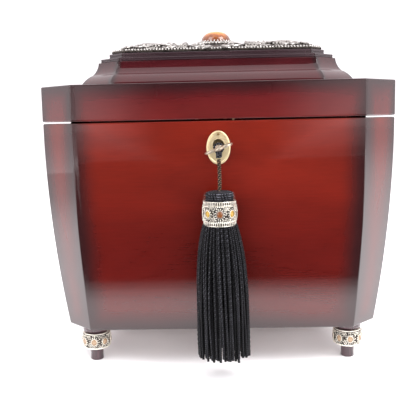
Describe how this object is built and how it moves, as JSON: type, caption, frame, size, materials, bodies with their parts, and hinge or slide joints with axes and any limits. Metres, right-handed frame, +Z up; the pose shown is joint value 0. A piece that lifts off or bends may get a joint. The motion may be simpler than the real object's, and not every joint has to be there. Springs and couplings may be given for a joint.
{
  "type": "tea caddy",
  "caption": "Wooden tea caddy with canted corners, curved sides, stepped hinged lid, jewelled feet, a box lock with key and a hanging tassel",
  "frame": {"origin": "on the table, under the middle of the whole object's box", "axes": "+X along the front to the right, +Y from the front to the back, +Z up"},
  "size_m": [0.28, 0.2375, 0.275],
  "materials": {
    "mahogany": "glossy red-brown lacquer, dark at the edges",
    "felt": "short black felt",
    "brass": "polished pale brass",
    "antique_silver": "antiqued pale gold cast metal, dark in its hollows",
    "steel": "nickelled steel, slightly worn",
    "amber": "polished amber glass",
    "black_thread": "lustrous black rayon thread"
  },
  "bodies": {
    "case": {"front_panel": "mahogany", "back_panel": "mahogany", "left_panel": "mahogany", "right_panel": "mahogany", "corner_post_front_left": "mahogany", "corner_post_front_right": "mahogany", "corner_post_back_left": "mahogany", "corner_post_back_right": "mahogany", "floor_board": "mahogany", "lining_front": "felt", "lining_back": "felt", "lining_left": "felt", "lining_right": "felt", "lining_floor": "felt", "divider": "mahogany", "foot_front_left": "mahogany", "foot_collar_front_left": "antique_silver", "foot_front_right": "mahogany", "foot_collar_front_right": "antique_silver", "foot_back_left": "mahogany", "foot_collar_back_left": "antique_silver", "foot_back_right": "mahogany", "foot_collar_back_right": "antique_silver", "lock_plate": "brass", "lock_case": "steel", "escutcheon": "brass", "escutcheon_pin_top": "brass", "escutcheon_pin_bottom": "brass", "body_leaf_left": "brass", "hinge_pin_left": "brass", "body_leaf_right": "brass", "hinge_pin_right": "brass"},
    "lid": {"lid_rail_front": "mahogany", "lid_rail_back": "mahogany", "lid_rail_left": "mahogany", "lid_rail_right": "mahogany", "lid_corner_front_left": "mahogany", "lid_corner_front_right": "mahogany", "lid_corner_back_left": "mahogany", "lid_corner_back_right": "mahogany", "lid_top_panel": "mahogany", "lid_lining": "felt", "lid_leaf_left": "brass", "lid_leaf_right": "brass", "strike_plate": "brass", "cove_block": "mahogany", "lower_plate": "mahogany", "upper_plate": "mahogany", "ornament_plate": "antique_silver", "stone_setting": "antique_silver", "stone": "amber"},
    "key": {"key": "steel"},
    "lock_bolt": {"lock_bolt": "brass"},
    "cord_loop": {"cord_loop": "black_thread"},
    "tassel": {"tassel_cord": "black_thread", "tassel_head": "black_thread", "tassel_collar": "antique_silver", "tassel_skirt": "black_thread"}
  },
  "joints": [
    {"name": "lid_hinge", "type": "hinge", "parent": "case", "child": "lid", "pos_m": [0, 0.1162, 0.1979], "axis": [-1, 0, 0], "range_deg": [0, 100]},
    {"name": "key_turn", "type": "hinge", "parent": "case", "child": "key", "pos_m": [0, -0.0867, 0.1772], "axis": [0, 1, 0], "range_deg": [-70, 90]},
    {"name": "bolt_slide", "type": "slide", "parent": "case", "child": "lock_bolt", "axis": [1, 0, 0], "range_m": [-0.0027, 0.0035]},
    {"name": "tassel_side_swing", "type": "hinge", "parent": "case", "child": "cord_loop", "pos_m": [0, -0.0997, 0.1772], "axis": [0, 1, 0], "range_deg": [-40, 40]},
    {"name": "tassel_forward_swing", "type": "hinge", "parent": "cord_loop", "child": "tassel", "pos_m": [0, -0.0997, 0.1722], "axis": [-1, 0, 0], "range_deg": [0, 40]}
  ],
  "couplings": [
    {"joint": "key_turn", "follows": "bolt_slide", "rad_per_m": 448.7}
  ]
}
